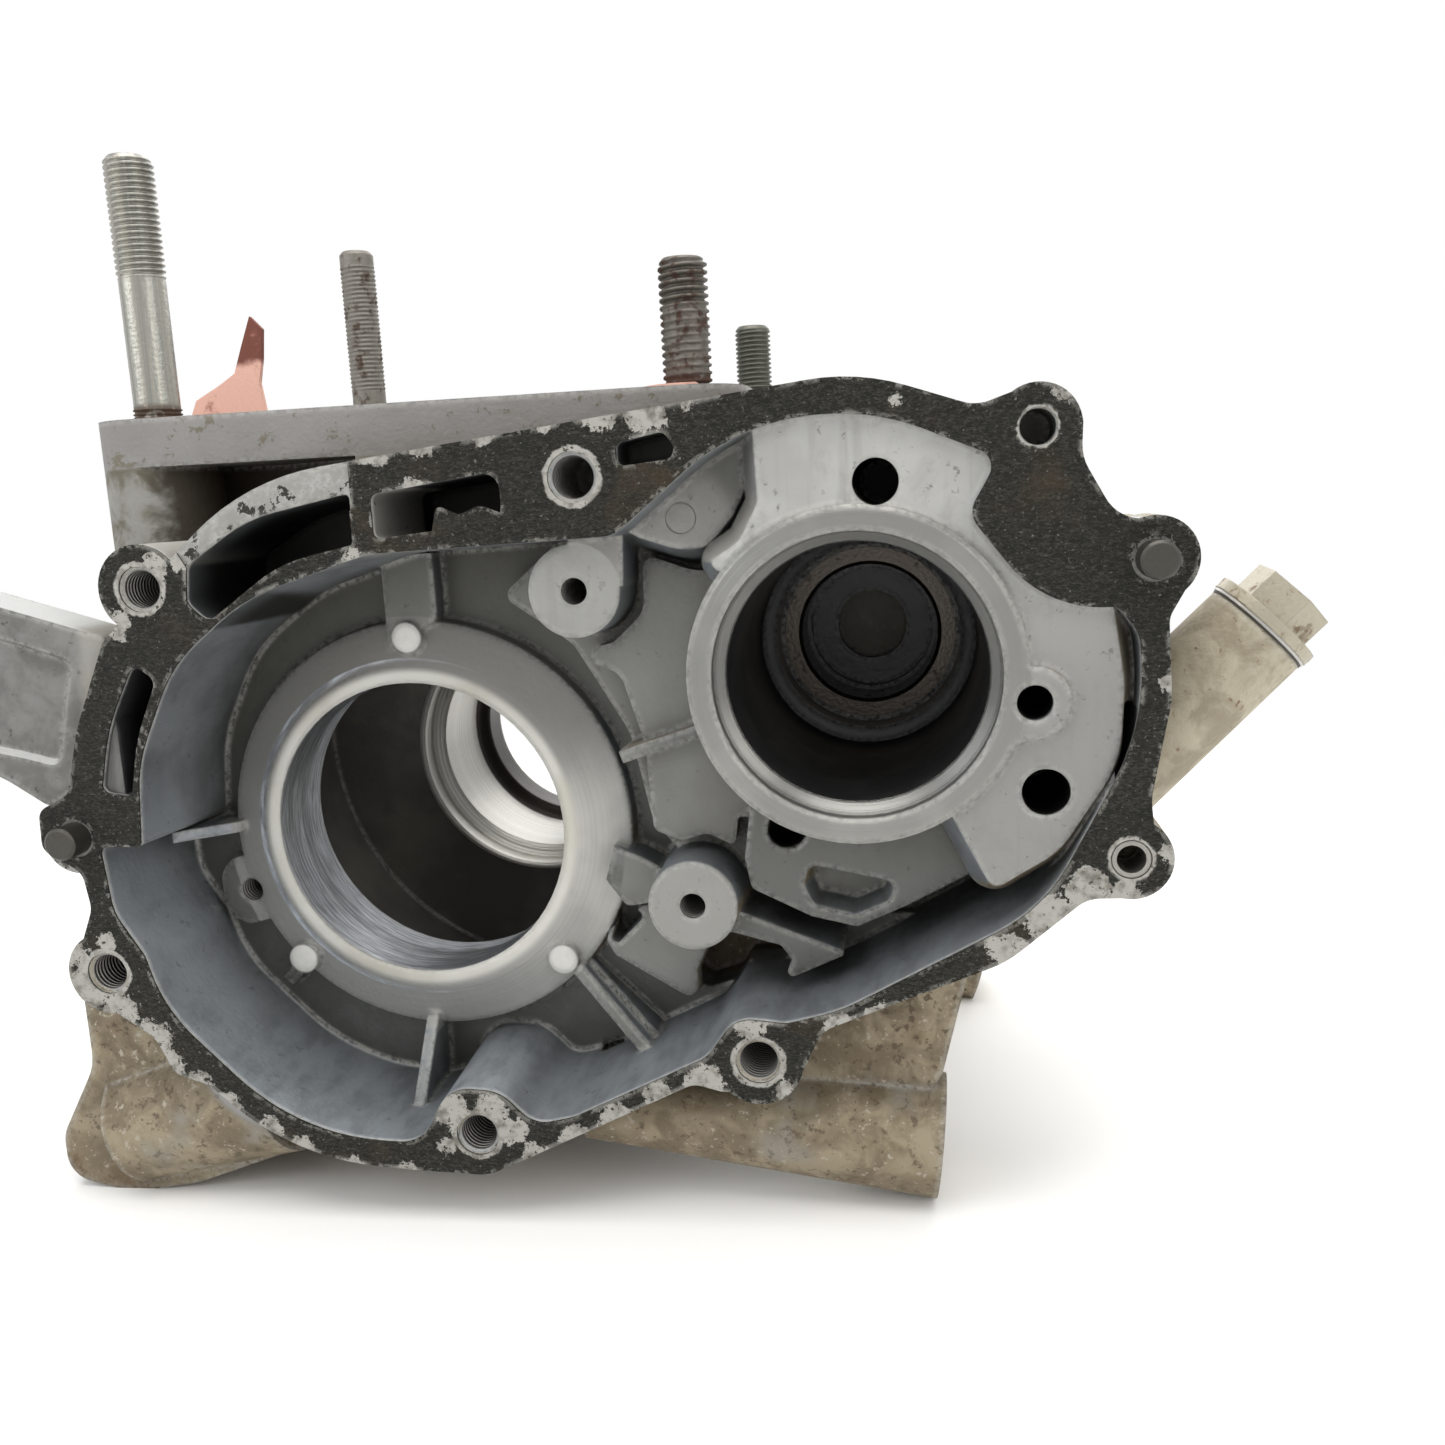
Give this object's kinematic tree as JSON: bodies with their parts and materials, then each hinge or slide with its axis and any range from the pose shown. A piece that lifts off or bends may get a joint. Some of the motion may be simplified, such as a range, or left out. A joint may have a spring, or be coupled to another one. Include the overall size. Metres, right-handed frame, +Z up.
{
  "type": "engine crankcase half",
  "caption": "Cast crankcase half with a main bearing bore, a side shaft bore, a ribbed cover cavity, a studded cylinder deck, feet, an arm and a filler neck.",
  "frame": {"origin": "on the crank axis at the mouth of the front main bearing bore", "axes": "+Y along the crank axis, away from the cover side; +Z up, square to the cylinder deck; +X to the right as seen from the cover side"},
  "size_m": [0.2899, 0.1727, 0.2166],
  "materials": {
    "cast_aluminium": "as cast, machined faces",
    "stud_steel": "worn and rusty",
    "dowel_steel": "brown tarnish",
    "sleeve_steel": "bright rim",
    "plug_steel": "plated, rusty",
    "washer_steel": "tarnished",
    "seal_fibre": "dark",
    "race_steel": "oiled",
    "gasket_fibre": "fibrous, torn",
    "base_gasket": "torn paper"
  },
  "bodies": {
    "root": {"crankcase_casting": "cast_aluminium", "cylinder_stud_front_left": "stud_steel", "cylinder_stud_rear_left": "stud_steel", "cylinder_stud_front_right": "stud_steel", "cylinder_stud_rear_right": "stud_steel", "cover_dowel_left": "dowel_steel", "cover_dowel_right": "dowel_steel", "cover_dowel_sleeve": "sleeve_steel", "filler_plug": "plug_steel", "filler_plug_washer": "washer_steel", "filler_plug_seal": "seal_fibre", "shaft_bearing_race": "race_steel", "cover_gasket_remains": "gasket_fibre", "base_gasket_scrap": "base_gasket", "base_gasket_sliver": "base_gasket"}
  },
  "joints": []
}
